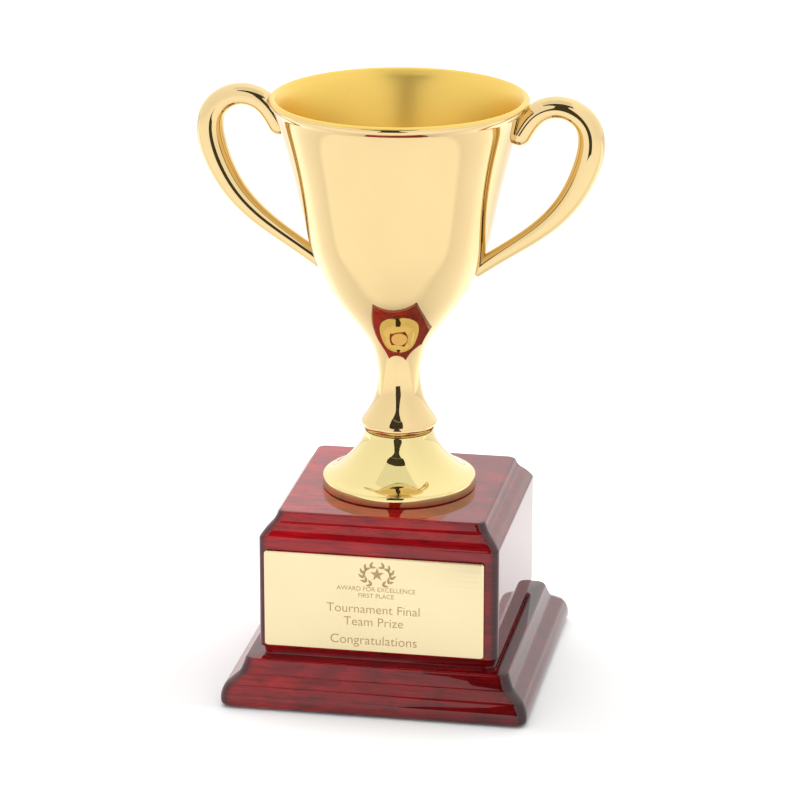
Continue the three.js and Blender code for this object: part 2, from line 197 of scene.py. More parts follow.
def skin(name, rings, materials, looped=False, zones=None, sharp=SHARP_ANGLE, shades_and_end_grain=None):
    """A closed mesh over rings of equally many points: capped at both ends, or looped to the first.
    zones gives the material of each band between two rings, and shades_and_end_grain a value of painted
    shade, with the end grain's stain, for each point."""
    sides = len(rings[0])
    bands = len(rings) if looped else len(rings) - 1
    shape = bmesh.new()
    layer = shape.verts.layers.float.new(SHADE_AND_END_GRAIN) if shades_and_end_grain else None
    spots = [[shape.verts.new(p) for p in ring] for ring in rings]
    if shades_and_end_grain:
        for ring, values in zip(spots, shades_and_end_grain):
            for vertex, wood_tone in zip(ring, values):
                vertex[layer] = wood_tone
    for i in range(bands):
        low, high = spots[i], spots[(i + 1) % len(rings)]
        for j in range(sides):
            k = (j + 1) % sides
            face = shape.faces.new((low[j], low[k], high[k], high[j]))
            face.material_index = zones[i] if zones else 0
    if not looped:
        shape.faces.new(list(reversed(spots[0])))
        shape.faces.new(spots[-1])
    mesh = bpy.data.meshes.new(name)
    for material in materials:
        mesh.materials.append(material)
    return finished(mesh, shape, sharp)


def applied(piece):
    """The piece with its modifiers made part of its mesh."""
    bpy.context.view_layer.update()
    graph = bpy.context.evaluated_depsgraph_get()
    mesh = bpy.data.meshes.new_from_object(piece.evaluated_get(graph))
    mesh.name = piece.name
    piece.modifiers.clear()
    piece.data = mesh
    mesh.shade_smooth()
    mesh.set_sharp_from_angle(angle=SHARP_ANGLE)
    return piece


def trimmed(piece, cutter_mesh):
    """The piece less the cutter's space."""
    cutter = bpy.data.objects.new("cutter", cutter_mesh)
    bpy.context.scene.collection.objects.link(cutter)
    cut = piece.modifiers.new("trim", "BOOLEAN")
    cut.operation = "DIFFERENCE"
    cut.solver = "EXACT"
    cut.object = cutter
    applied(piece)
    bpy.data.objects.remove(cutter)
    return piece


# ---------- materials ----------

def fill_ramp(node, stops):
    """Sets a colour ramp's (value, colour) stops."""
    bar = node.color_ramp.elements
    while len(bar) < len(stops):
        bar.new(1)
    for element, (value, colour) in zip(bar, stops):
        element.position = value
        element.color = (*colour, 1)


def set_range(node, start, end, low, high):
    """Makes a Map Range node carry start to end over to low to high."""
    for key, value in {"From Min": start, "From Max": end, "To Min": low, "To Max": high}.items():
        node.inputs[key].default_value = value


def greys(stops):
    """The (value, colour) stops of a ramp of greys, from (value, brightness) stops."""
    return [(value, (bright, bright, bright)) for value, bright in stops]


class Finish:
    """A material on one Principled shader, with short calls that build the nodes that vary it."""

    def __init__(self, name, **sockets):
        self.material = bpy.data.materials.new(name)
        self.material.use_nodes = True
        self.tree = self.material.node_tree
        self.shader = self.tree.nodes["Principled BSDF"]
        self.place = self.add("ShaderNodeTexCoord").outputs["Object"]
        for socket, value in sockets.items():
            self.shader.inputs[socket.replace("_", " ")].default_value = value

    def add(self, kind, **settings):
        """A new node with the given settings."""
        node = self.tree.nodes.new(kind)
        for key, value in settings.items():
            setattr(node, key, value)
        return node

    def join(self, source, target):
        """Links an output to an input."""
        self.tree.links.new(source, target)

    def along(self, axis):
        """The place in metres along an axis of the piece."""
        parts = self.add("ShaderNodeSeparateXYZ")
        self.join(self.place, parts.inputs["Vector"])
        return parts.outputs[axis]

    def noise(self, scale, stretch=(1, 1, 1), detail=3, roughness=0.5, distortion=0):
        """Noise with so many features a metre, drawn out along the axes whose stretch is below 1."""
        mapping = self.add("ShaderNodeMapping")
        mapping.inputs["Scale"].default_value = stretch
        self.join(self.place, mapping.inputs["Vector"])
        noise = self.add("ShaderNodeTexNoise")
        self.join(mapping.outputs["Vector"], noise.inputs["Vector"])
        noise.inputs["Scale"].default_value = scale
        noise.inputs["Detail"].default_value = detail
        noise.inputs["Roughness"].default_value = roughness
        noise.inputs["Distortion"].default_value = distortion
        return noise.outputs["Fac"]

    def ramp(self, factor, *stops):
        """A colour for each value of the factor, from (value, colour) stops."""
        node = self.add("ShaderNodeValToRGB")
        fill_ramp(node, stops)
        self.join(factor, node.inputs["Fac"])
        return node.outputs["Color"]

    def spread(self, factor, low, high, start=0.3, end=0.7):
        """The factor from start to end, carried over to the range low to high."""
        node = self.add("ShaderNodeMapRange")
        set_range(node, start, end, low, high)
        self.join(factor, node.inputs["Value"])
        return node.outputs["Result"]

    def multiplied(self, first, second):
        """The product of two colours."""
        node = self.add("ShaderNodeMix", data_type="RGBA", blend_type="MULTIPLY")
        node.inputs["Factor"].default_value = 1
        self.join(first, node.inputs["A"])
        self.join(second, node.inputs["B"])
        return node.outputs["Result"]

    def bump(self, height, depth, target="Normal"):
        """Relief of the given depth in millimetres."""
        node = self.add("ShaderNodeBump")
        node.inputs["Distance"].default_value = depth * MM
        self.join(height, node.inputs["Height"])
        self.join(node.outputs["Normal"], self.shader.inputs[target])

    def drive(self, **sources):
        """Links each source to the shader's socket of that name."""
        for socket, source in sources.items():
            self.join(source, self.shader.inputs[socket.replace("_", " ")])


def shades(colour, *shares):
    """The colour made darker or lighter by each share."""
    return [tuple(c * share for c in colour) for share in shares]


def polished_metal(name, colour, roughness=(0.015, 0.04)):
    """Plated metal with a mirror polish, faintly uneven in tone, gloss and flatness."""
    finish = Finish(name, Metallic=1.0)
    tone = finish.noise(scale=45, detail=2)
    dark, light = shades(colour, 0.985, 1.015)
    finish.drive(Base_Color=finish.ramp(tone, (0.35, dark), (0.65, light)))
    finish.drive(Roughness=finish.spread(finish.noise(scale=220, detail=4), *roughness))
    finish.bump(finish.noise(scale=420, detail=1), 0.0012)
    return finish.material


def satin_gold():
    """The inside of the bowl: the same plating over a fine blasted grain."""
    finish = Finish("gold_satin", Metallic=1.0)
    tone = finish.noise(scale=5200, detail=4, roughness=0.7)
    dark, light = shades(INSIDE_GOLD, 0.93, 1.06)
    finish.drive(Base_Color=finish.ramp(tone, (0.35, dark), (0.65, light)))
    finish.drive(Roughness=finish.spread(finish.noise(scale=2500, detail=3), 0.33, 0.38))
    finish.bump(finish.noise(scale=5200, detail=3), 0.008)
    return finish.material


# Painted light and shade across the wood: lighter on the -X side and darker on the +X side, over this reach
# in metres each way from the middle.
PAINTED_LIGHT_REACH = 0.04
PAINTED_SIDE_LIGHT = [(0.0, (1.30, 1.2, 1.2)), (0.5, (1.0, 1.0, 1.0)), (1.0, (0.60, 0.6, 0.6))]
# The tone along the scale of painted shade: darker red on the corners for painted shade, and on the end
# faces a darker red with more green and blue, the end grain's stain together with painted shade and a
# painted warm tint of reflected light.
SHADE_AND_END_GRAIN_TONES = [
    (0.0, (1, 1, 1)), (FRONT_EDGE_SHADE, (0.6, 1, 1)), (CORNER_SHADE, (0.26, 0.9, 0.9)),
    (END_GRAIN_STAIN_AND_SHADE, (0.85, 5, 2.0)),
]


def rosewood(name, depth, grain):
    """Red-stained wood with dark clouds drawn out along X, under thick clear lacquer. Painted light makes
    it lighter towards -X and painted shade darker towards +X, and the mesh's attribute paints shade on the
    corners and end faces, with the end grain's stain there. depth scales its colour, grain its streaks."""
    finish = Finish(name, Coat_Weight=1.0, Coat_Roughness=0.012, Coat_IOR=1.5)
    finish.shader.inputs["Specular IOR Level"].default_value = 0.0
    finish.shader.inputs["Roughness"].default_value = 0.6
    bands = finish.noise(scale=230, stretch=grain, detail=4, roughness=0.6, distortion=0.4)
    dark, middle, light = (shades(colour, depth)[0] for colour in (WOOD_DARK, WOOD_MIDDLE, WOOD_LIGHT))
    wood_tone = finish.ramp(bands, (0.32, dark), (0.50, middle), (0.66, light))
    pores = finish.noise(scale=1500, stretch=(0.05, 0.5, 1), detail=3)
    pore_tone = finish.ramp(pores, (0.34, (0.62, 0.5, 0.55)), (0.52, (1, 1, 1)))
    # Painted light towards -X and painted shade towards +X.
    across = finish.spread(finish.along("X"), 0, 1, -PAINTED_LIGHT_REACH, PAINTED_LIGHT_REACH)
    side_light_tone = finish.ramp(across, *PAINTED_SIDE_LIGHT)
    # Painted shade on the corners and end faces, with the end grain's stain and a painted warm tint on the
    # end faces.
    painted_shade_attribute = finish.add("ShaderNodeAttribute", attribute_name=SHADE_AND_END_GRAIN)
    painted_shade_tone = finish.ramp(painted_shade_attribute.outputs["Fac"], *SHADE_AND_END_GRAIN_TONES)
    wood = finish.multiplied(finish.multiplied(wood_tone, pore_tone), finish.multiplied(side_light_tone, painted_shade_tone))
    finish.drive(Base_Color=wood)
    finish.bump(finish.noise(scale=120, stretch=(0.3, 1, 1), detail=1), 0.0018, "Coat Normal")
    return finish.material


def plate_brass():
    """Lacquered brass sheet with a satin face."""
    finish = Finish("plate_brass", Metallic=1.0)
    tone = finish.noise(scale=30, detail=2)
    dark, light = shades(BRASS, 0.98, 1.02)
    finish.drive(Base_Color=finish.ramp(tone, (0.35, dark), (0.65, light)))
    lines = finish.noise(scale=2400, stretch=(0.02, 1, 1), detail=2)
    finish.drive(Roughness=finish.spread(lines, 0.17, 0.25))
    finish.bump(lines, 0.002)
    return finish.material


def etched_brass():
    """The marks on the plate, where the etching has left a matt tan surface."""
    finish = Finish("plate_etching", Metallic=0.6)
    tone = finish.noise(scale=5000, detail=2)
    dark, light = shades(ETCHED, 0.85, 1.1)
    finish.drive(Base_Color=finish.ramp(tone, (0.35, dark), (0.65, light)))
    finish.drive(Roughness=finish.spread(tone, 0.45, 0.6))
    return finish.material


def zinc_steel():
    """Zinc-plated fasteners, lightly cloudy."""
    finish = Finish("zinc_steel", Metallic=1.0)
    clouds = finish.noise(scale=700, detail=5, roughness=0.6)
    finish.drive(Base_Color=finish.ramp(clouds, (0.35, ZINC_DARK), (0.65, ZINC_LIGHT)))
    finish.drive(Roughness=finish.spread(clouds, 0.22, 0.42))
    finish.bump(finish.noise(scale=3000, detail=2), 0.004)
    return finish.material


def felt_cloth():
    """Pressed black felt: matted fibres with a soft nap."""
    finish = Finish("felt", Roughness=1.0, Sheen_Weight=0.5, Sheen_Roughness=0.5)
    fibres = finish.noise(scale=3200, detail=6, roughness=0.75, distortion=2.0)
    finish.drive(Base_Color=finish.ramp(fibres, (0.35, FELT_DARK), (0.65, FELT_LIGHT)))
    finish.bump(fibres, 0.25)
    return finish.material


def tape_foam():
    """White foam tape behind the plate."""
    finish = Finish("adhesive_tape")
    cells = finish.noise(scale=2600, detail=3)
    finish.drive(Base_Color=finish.ramp(cells, (0.35, TAPE_DARK), (0.65, TAPE_LIGHT)))
    finish.drive(Roughness=finish.spread(cells, 0.7, 0.9))
    finish.bump(cells, 0.03)
    return finish.material


CUP_GOLD = (0.742, 0.562, 0.284)
INSIDE_GOLD = (0.815, 0.560, 0.135)
FOOT_GOLD = (0.755, 0.622, 0.288)
BRASS = (0.770, 0.650, 0.402)
ETCHED = (0.44, 0.31, 0.145)
WOOD_DARK = (0.165, 0.0030, 0.0060)
WOOD_MIDDLE = (0.250, 0.0025, 0.0055)
WOOD_LIGHT = (0.345, 0.0030, 0.0060)
ZINC_DARK = (0.46, 0.47, 0.50)
ZINC_LIGHT = (0.66, 0.67, 0.68)
FELT_DARK = (0.004, 0.004, 0.005)
FELT_LIGHT = (0.028, 0.029, 0.030)
TAPE_DARK = (0.60, 0.58, 0.53)
TAPE_LIGHT = (0.76, 0.74, 0.68)

GOLD_POLISHED = polished_metal("gold_polished", CUP_GOLD)
GOLD_FOOT = polished_metal("gold_foot", FOOT_GOLD)
GOLD_SATIN = satin_gold()
ROSEWOOD = rosewood("rosewood_lacquer", depth=1.0, grain=(0.26, 0.5, 1))
ROSEWOOD_PLINTH = rosewood("rosewood_lacquer_plinth", depth=0.64, grain=(0.45, 0.7, 1))
PLATE_BRASS = plate_brass()
PLATE_ETCHING = etched_brass()
ZINC = zinc_steel()
FELT = felt_cloth()
TAPE = tape_foam()


# ---------- cup ----------

# Outlines of the cup in (radius, height above the stem's underside).
TAPPED_HOLE = (3.3, 16.9)
SOCKET = (7.5, 1.6)
LIP_RADIUS = CUP_HIGH.x
KNOP = [(10.75, 0.0), (11.0, 0.25), (11.5, 0.8), (11.9, 1.6), (12.1, 2.4), (11.9, 3.2), (11.3, 4.15)]
STEM_AND_BOWL = [
    (8.9, 8.0), (7.4, 12.1), (6.7, 17.9), (7.3, 23.4), (9.3, 28.9), (13.8, 34.9),
    (18.4, 40.9), (22.2, 46.9), (25.5, 54.1), (28.1, 61.1), (30.1, 69.9), (33.4, 84.9), (37.5, 99.9),
    (39.5, 105.0),
]
LIP = [
    (39.5, 105.0), (40.3, 106.0), (LIP_RADIUS, 106.75), (40.46, 107.6), (39.6, 108.2), (38.75, 107.95),
    (38.05, 107.0),
]
LIP_STEPS = 6
# The polish of the outside goes over this many spans of the lip; the satin inside starts there.
POLISHED_LIP_SPANS = 3
BOWL_INSIDE = [
    (38.05, 107.0), (35.9, 102.4), (31.1, 85.4), (27.8, 69.9), (25.6, 60.4), (22.6, 52.9), (18.5, 45.9),
    (14.0, 39.4), (8.0, 34.1), (3.0, 32.5), (0.0, 32.4),
]


def cup_side():
    """The cup's outside from the edge of its underside to just below the lip."""
    return smooth(KNOP + STEM_AND_BOWL)


def cup_shell():
    """Stem and bowl in one turned piece, mirror-bright outside and satin within."""
    lip = smooth(LIP, LIP_STEPS)
    inside = smooth(BOWL_INSIDE)
    bottom = [(0, TAPPED_HOLE[1]), TAPPED_HOLE, (TAPPED_HOLE[0], SOCKET[1]), SOCKET, (SOCKET[0], 0)]
    outside = bottom + cup_side()
    outline = raised(outside + lip[1:] + inside[1:], CUP_LOW.z)
    polished = len(outside) - 1 + POLISHED_LIP_SPANS * LIP_STEPS
    zones = [0] * polished + [1] * (len(outline) - 1 - polished)
    mesh = skin("cup_shell", turned(outline), [GOLD_POLISHED, GOLD_SATIN], zones=zones)
    return piece_from("cup_shell", mesh, ["cup_body"])


# ---------- handles ----------

# Centre line of the right handle in (x, z), from inside the pad over the loop to the lower end.
HANDLE_LINE = [
    (37.9, 178.2), (39.6, 180.9), (42.0, 183.9), (45.6, 186.2), (50.4, 187.0), (55.6, 185.2), (59.2, 181.2),
    (60.2, 175.8), (59.2, 169.8), (56.4, 162.6), (51.8, 155.2), (45.6, 148.8), (38.6, 143.5), (31.0, 138.4),
    (24.0, 133.6),
]
# The bar's half-widths: (share of its length, half-width in its plane, half-width along Y).
HANDLE_SECTIONS = [
    (0, 3.9, 3.7), (0.1, 3.6, 3.5), (0.2, 3.5, 3.5), (0.3, 3.95, 3.85), (0.4, 4.40, 4.1), (0.55, 3.9, 3.7),
    (0.7, 3.2, 3.1), (0.85, 2.65, 2.6), (1, 2.6, 2.4),
]
HANDLE_SIDES = 48
HANDLE_STEPS = 12
DOME_STEPS = 8
# The pad's dome starts this share of a step from its tip, where its first ring has some width.
DOME_START = 0.15
# The cutter that trims the handles is this much smaller than the bowl, and runs from above the knop to past
# the lip.
SOLDER_DEPTH = 0.06
CUTTER_START = 30
CUTTER_FLARE = 2.2
CUTTER_PAST_LIP = 5


def handle_rings():
    """Oval rings along the centre line, with a domed pad end."""
    line = np.array(smooth(HANDLE_LINE, HANDLE_STEPS))
    steps = np.linalg.norm(np.diff(line, axis=0), axis=1)
    shares = np.concatenate([[0], np.cumsum(steps)]) / steps.sum()
    tangents = np.gradient(line, axis=0)
    tangents /= np.linalg.norm(tangents, axis=1)[:, None]
    sections = np.array(smooth(HANDLE_SECTIONS, HANDLE_STEPS))
    in_plane = np.interp(shares, sections[:, 0], sections[:, 1])
    along_y = np.interp(shares, sections[:, 0], sections[:, 2])

    stations = []
    for step in range(DOME_STEPS):
        angle = math.pi / 2 * (step + DOME_START) / DOME_STEPS
        back = tangents[0] * in_plane[0] * math.cos(angle)
        share = math.sin(angle)
        stations.append((line[0] - back, tangents[0], in_plane[0] * share, along_y[0] * share))
    stations += list(zip(line, tangents, in_plane, along_y))

    turns = np.linspace(0, 2 * math.pi, HANDLE_SIDES, endpoint=False)
    return [
        [(x - tz * wide * math.cos(a), deep * math.sin(a), z + tx * wide * math.cos(a)) for a in turns]
        for (x, z), (tx, tz), wide, deep in stations
    ]


def bowl_filled():
    """The bowl's outer form made solid, a little smaller so that what is trimmed to it still touches."""
    side = raised(cup_side(), CUP_LOW.z)
    wall = [(r - SOLDER_DEPTH, z) for r, z in side if z > CUP_LOW.z + CUTTER_START]
    under_lip = (LIP_RADIUS - SOLDER_DEPTH, wall[-1][1] + CUTTER_FLARE)
    top = CUP_HIGH.z + CUTTER_PAST_LIP
    outline = [(0, wall[0][1]), *wall, under_lip, (LIP_RADIUS, top), (0, top)]
    return skin("bowl_filled", turned(outline), [])


def handle(name, node, side):
    """A handle soldered under the lip and to the lower bowl; side is 1 on +X and -1 on -X."""
    rings = [[(side * x, y, z) for x, y, z in ring] for ring in handle_rings()]
    piece = piece_from(name, skin(name, rings, [GOLD_POLISHED]), [node])
    return trimmed(piece, bowl_filled())


# ---------- foot ----------

def foot_bell():
    """The flared foot, hollow below, with an upright rim and the spigot under the stem."""
    rim, rim_round, rim_bulge = FOOT_HIGH.x, 0.35, 8.0
    top, spigot, spigot_top = 18.6, 7.2, 19.9
    bore, bore_bottom = 3.3, 14.2
    rim_edge = [
        *arc((rim - rim_round, rim_round), rim_round, -90, 0, 4),
        *arc((rim - rim_bulge, 1.75), rim_bulge, 0, 11, 6),
        *arc((rim - 0.49, 3.21), rim_round, 20, 68, 5),
    ]
    outside = smooth([rim_edge[-1], (22.5, 4.12), (20.8, 5.1), (18.0, 7.38), (14.9, 10.56), (12.5, 14.0),
                      (11.5, 16.4), (11.05, top - 0.15)])
    inside = smooth([(10.6, bore_bottom), (12.6, 10.6), (15.9, 7.2), (19.6, 4.2), (22.3, 2.0)], 6)
    outline = [
        *rim_edge, *outside[1:], (10.9, top), (spigot, top), (spigot, spigot_top),
        (bore, spigot_top), (bore, bore_bottom), *inside, (inside[-1][0], 0),
    ]
    mesh = skin("foot_bell", turned(raised(outline, FOOT_LOW.z)), [GOLD_FOOT], looped=True)
    return piece_from("foot_bell", mesh, ["foot"])


# ---------- base ----------

BLOCK_CORNER = 2.5
PLINTH_CORNER = 3.2
FELT_CORNER = 3
# The felt's cut edge wanders this far each way, so it stands a little inside the CAD pad's side.
FELT_ROUGHNESS = 0.1
FELT_INSET = 0.15
FELT_SEED = 7


def block():
    """The square block, its top edge moulded to an ogee under a small round."""
    half = BLOCK_HIGH.x
    height = BLOCK_HIGH.z - BLOCK_LOW.z
    top_round, top_half, bottom_round = 0.9, 32.2, 1.0
    ogee = smooth([(half, 36.0), (38.05, 36.45), (37.7, 37.1), (37.0, 38.05), (36.28, 39.0), (35.2, 40.1),
                   (34.2, 41.2), (33.5, 42.4), (33.12, 43.25)], 8)
    outline = [
        (half - 1.6, 0), *arc((half - bottom_round, bottom_round), bottom_round, -80, 0, 6),
        *ogee, *arc((top_half, height - top_round), top_round, 12, 90, 8), (top_half - 0.6, height),
    ]
    rings, shades_and_end_grain = moulded(raised(outline, BLOCK_LOW.z), BLOCK_CORNER)
    mesh = skin("block", rings, [ROSEWOOD], shades_and_end_grain=shades_and_end_grain)
    return piece_from("block", mesh, ["base_block"])


def plinth():
    """The plinth: a torus, a slope, a cove and a small round up to the ledge, then the set-back neck."""
    half = PLINTH_HIGH.x
    moulding = smooth([
        (47.6, 0), (48.35, 0.2), (48.77, 0.75), (half - 0.02, 1.8), (48.84, 3.0), (48.6, 4.3), (48.2, 5.45),
        (47.75, 6.3), (47.55, 6.6), (47.22, 7.03), (46.9, 7.28), (45.7, 8.15), (44.5, 9.0), (43.98, 9.42),
        (43.62, 9.9), (43.35, 10.45), (43.05, 11.2), (42.7, 12.1), (42.42, 12.9),
    ], 6)
    edge = arc((41.3, 13.2), 1.0, 12, 34, 4) + arc((41.65, 13.92), 0.28, 40, 90, 4)
    neck = [(37.4, 14.2), (37.0, 14.25), (36.9, 14.45), (37.25, 16.35), (37.15, 16.5), (36.3, 16.5)]
    outline = moulding + edge + neck
    rings, shades_and_end_grain = moulded(raised(outline, PLINTH_LOW.z), PLINTH_CORNER, capped=len(neck))
    mesh = skin("plinth", rings, [ROSEWOOD_PLINTH], shades_and_end_grain=shades_and_end_grain)
    return piece_from("plinth", mesh, ["base_plinth"])


def felt():
    """Felt under the plinth, its cut edge a little uneven."""
    thick = FELT_HIGH.z - FELT_LOW.z
    draws = random.Random(FELT_SEED)
    rings = []
    for inset, height in [(0.6, 0), (0.15, 0.08), (0, thick * 0.4), (0.05, thick * 0.8), (0.5, thick)]:
        half = FELT_HIGH.x - FELT_INSET - inset
        ring = rounded_square(half, half, FELT_CORNER, 12)
        rings.append([(x + draws.uniform(-FELT_ROUGHNESS, FELT_ROUGHNESS),
                       y + draws.uniform(-FELT_ROUGHNESS, FELT_ROUGHNESS), height) for x, y in ring])
    return piece_from("felt_sheet", skin("felt_sheet", rings, [FELT]), ["felt_pad"])


# ---------- name plate ----------

PLATE_CORNER = 1.0
PLATE_SHARP_ANGLE = math.radians(20)
PLATE_MIDDLE = (PLATE_LOW + PLATE_HIGH) / 2


def upright(across, depth, up):
    """A point from its place across and up from the middle of the plate's face, and its depth behind it."""
    return (PLATE_MIDDLE.x + across, PLATE_LOW.y + depth, PLATE_MIDDLE.z + up)


def plate():
    """The brass plate with its bevelled edge."""
    width, height = PLATE_HIGH.x - PLATE_LOW.x, PLATE_HIGH.z - PLATE_LOW.z
    thick = PLATE_HIGH.y - PLATE_LOW.y
    rings = []
    for inset, depth in [(0.1, thick), (0, thick - 0.1), (0, 0.28), (0.06, 0.16), (0.28, 0.02), (0.36, 0)]:
        outline = rounded_square(width / 2 - inset, height / 2 - inset, PLATE_CORNER - inset / 2)
        rings.append([upright(x, depth, z) for x, z in outline])
    mesh = skin("brass_plate", rings, [PLATE_BRASS], sharp=PLATE_SHARP_ANGLE)
    return piece_from("brass_plate", mesh, ["name_plate"])


ETCH_DEPTH = 0.02


def flat_shape(shape, outline):
    """Adds a thin slab with the given outline of (across, up) points on the plate's face."""
    front = [shape.verts.new(upright(x, -ETCH_DEPTH, z)) for x, z in outline]
    back = [shape.verts.new(upright(x, ETCH_DEPTH, z)) for x, z in outline]
    shape.faces.new(front)
    shape.faces.new(list(reversed(back)))
    for i in range(len(front)):
        j = (i + 1) % len(front)
        shape.faces.new((front[j], front[i], back[i], back[j]))


# The star's inner points as a share of its radius.
STAR_WAIST = 0.40
LEAF_STEPS = 7


def star(centre, radius):
    """Outline of a five-pointed star."""
    found = []
    for i in range(10):
        angle = math.radians(90 + 36 * i)
        reach = radius * STAR_WAIST if i % 2 else radius
        found.append((centre[0] + reach * math.cos(angle), centre[1] + reach * math.sin(angle)))
    return found


def leaf(root, turn, length, width):
    """Outline of a pointed leaf from its root, turned so many degrees from across the plate."""
    along = (math.cos(math.radians(turn)), math.sin(math.radians(turn)))
    found = []
    for side, start, end in ((1, 0, 1), (-1, 1, 0)):
        for t in np.linspace(start, end, LEAF_STEPS, endpoint=False):
            bulge = side * width / 2 * math.sin(math.pi * t**0.8)
            found.append((root[0] + along[0] * length * t - along[1] * bulge,
                          root[1] + along[1] * length * t + along[0] * bulge))
    return found


# The sprays' stems lie on an oval about the emblem's centre, with a pair of leaves at each of these angles.
EMBLEM_CENTRE = (1.2, 9.9)
SPRAY_REACH = (4.7, 3.3)
SPRAY_ANGLES = range(-70, 61, 26)
LEAF_LEANS = (-30, 34)
LEAF_SIZE = (2.1, 0.85)
STAR_RADIUS = 2.3
STAR_RISE = 0.4


def emblem():
    """A star between two laurel sprays."""
    x, z = EMBLEM_CENTRE
    shape = bmesh.new()
    flat_shape(shape, star((x, z + STAR_RISE), STAR_RADIUS))
    for side in (1, -1):
        for degrees in SPRAY_ANGLES:
            angle = math.radians(degrees)
            stem = (x + side * SPRAY_REACH[0] * math.cos(angle), z + SPRAY_REACH[1] * math.sin(angle))
            for lean in LEAF_LEANS:
                turn = degrees + 90 + lean
                flat_shape(shape, leaf(stem, turn if side > 0 else 180 - turn, *LEAF_SIZE))
    mesh = bpy.data.meshes.new("plate_emblem")
    mesh.materials.append(PLATE_ETCHING)
    return piece_from("plate_emblem", finished(mesh, shape))


# Lines of generic wording: (text, height of a capital, place across and up the plate, offset that makes
# the strokes thicker, or thinner where it is below 0).
WORDING = [
    ("AWARD FOR EXCELLENCE", 1.52, 0.85, 4.6, 0.005),
    ("FIRST PLACE", 1.52, 0.85, 2.4, 0.005),
    ("Tournament Final", 3.05, 0, -2.8, -0.015),
    ("Team Prize", 3.05, 0, -7.1, -0.015),
    ("Congratulations", 3.15, 0, -13.3, -0.015),
]
# The height of a capital as a share of the font's size.
CAPITAL_SHARE = 0.73


def plate_line(name, text, capital, across, up, thickening):
    """One line of etched wording, centred about its place across the plate."""
    curve = bpy.data.curves.new(name, "FONT")
    curve.body = text
    curve.size = capital / CAPITAL_SHARE * MM
    curve.align_x = "CENTER"
    curve.offset = thickening * MM
    curve.extrude = ETCH_DEPTH * MM
    curve.resolution_u = 6
    drawn = bpy.data.objects.new(name, curve)
    bpy.context.scene.collection.objects.link(drawn)
    mesh = bpy.data.meshes.new_from_object(drawn.evaluated_get(bpy.context.evaluated_depsgraph_get()))
    bpy.data.objects.remove(drawn)
    place = Vector((PLATE_MIDDLE.x + across, PLATE_LOW.y, PLATE_MIDDLE.z + up)) * MM
    for vertex in mesh.vertices:
        x, y, z = vertex.co
        vertex.co = place + Vector((x, -z, y))
    mesh.materials.clear()
    mesh.materials.append(PLATE_ETCHING)
    mesh.name = name
    return piece_from(name, mesh)


# ---------- studio ----------

CAMERA_AZIMUTH = 10.4
CAMERA_ELEVATION = 18.25
CAMERA_DISTANCE = 1.208
CAMERA_LENS = 171
SENSOR_WIDTH = 36
TARGET_HEIGHT = 0.0893
TARGET_ASIDE = 0.00023
LENS_RIGHT = Vector((math.cos(math.radians(CAMERA_AZIMUTH)), math.sin(math.radians(CAMERA_AZIMUTH)), 0))


def heading(azimuth, elevation):
    """The direction from the trophy at an azimuth and elevation in degrees; azimuth 0 is the front."""
    a, e = math.radians(azimuth), math.radians(elevation)
    return Vector((math.sin(a) * math.cos(e), -math.cos(a) * math.cos(e), math.sin(e)))


def add_camera():
    """A long lens from the front, a little to the right and above."""
    target = LENS_RIGHT * TARGET_ASIDE + Vector((0, 0, TARGET_HEIGHT))
    back = heading(CAMERA_AZIMUTH, CAMERA_ELEVATION)
    camera = bpy.data.objects.new("camera", bpy.data.cameras.new("camera"))
    camera.data.lens = CAMERA_LENS
    camera.data.sensor_width = SENSOR_WIDTH
    camera.location = target + back * CAMERA_DISTANCE
    camera.rotation_euler = (-back).to_track_quat("-Z", "Y").to_euler()
    bpy.context.scene.collection.objects.link(camera)
    bpy.context.scene.camera = camera


def stage_object(name, points, faces, material):
    """A thing of the studio, which is no part of the trophy."""
    mesh = bpy.data.meshes.new(name)
    mesh.from_pydata(points, [], faces)
    mesh.materials.append(material)
    thing = bpy.data.objects.new(name, mesh)
    bpy.context.scene.collection.objects.link(thing)
    return thing


FLOOR_HALF = 6.0
PAINTED_GLOW_REACH = 1.5
# The floor's painted glow from front to back, though it is no lamp: a painted shadow where it drops close
# to the trophy, and a painted bright band behind it that lightens the reflections in the side faces: (place
# from 0 to 1 along Y within its reach, brightness).
FLOOR_PAINTED_GLOW = [
    (0.0, 0.28), (0.35, 0.25), (0.477, 0.24), (0.484, 0.02), (0.52, 0.20), (0.54, 0.50), (0.575, 0.50),
    (0.61, 0.06), (1.0, 0.10),
]


def add_floor():
    """A plain white floor that glows in bands along its depth, with a painted shadow close to the trophy
    and a painted bright band behind it.
    """
    finish = Finish("floor_painted_glow", Roughness=0.9)
    finish.shader.inputs["Specular IOR Level"].default_value = 0.1
    finish.drive(Base_Color=finish.ramp(finish.noise(scale=3), *greys([(0.3, 0.71), (0.7, 0.73)])))
    # Painted glow: the floor gives off light in bands along Y, though it is no lamp.
    finish.shader.inputs["Emission Color"].default_value = (1, 1, 1, 1)
    back = finish.spread(finish.along("Y"), 0, 1, -PAINTED_GLOW_REACH, PAINTED_GLOW_REACH)
    finish.drive(Emission_Strength=finish.ramp(back, *greys(FLOOR_PAINTED_GLOW)))
    half = FLOOR_HALF
    stage_object("floor", [(-half, -half, 0), (half, -half, 0), (half, half, 0), (-half, half, 0)],
                 [(0, 1, 2, 3)], finish.material)


# The panels lie on a sphere of this radius about this point.
PANEL_DISTANCE = 0.60
PANEL_CENTRE = Vector((0, 0, 0.08))

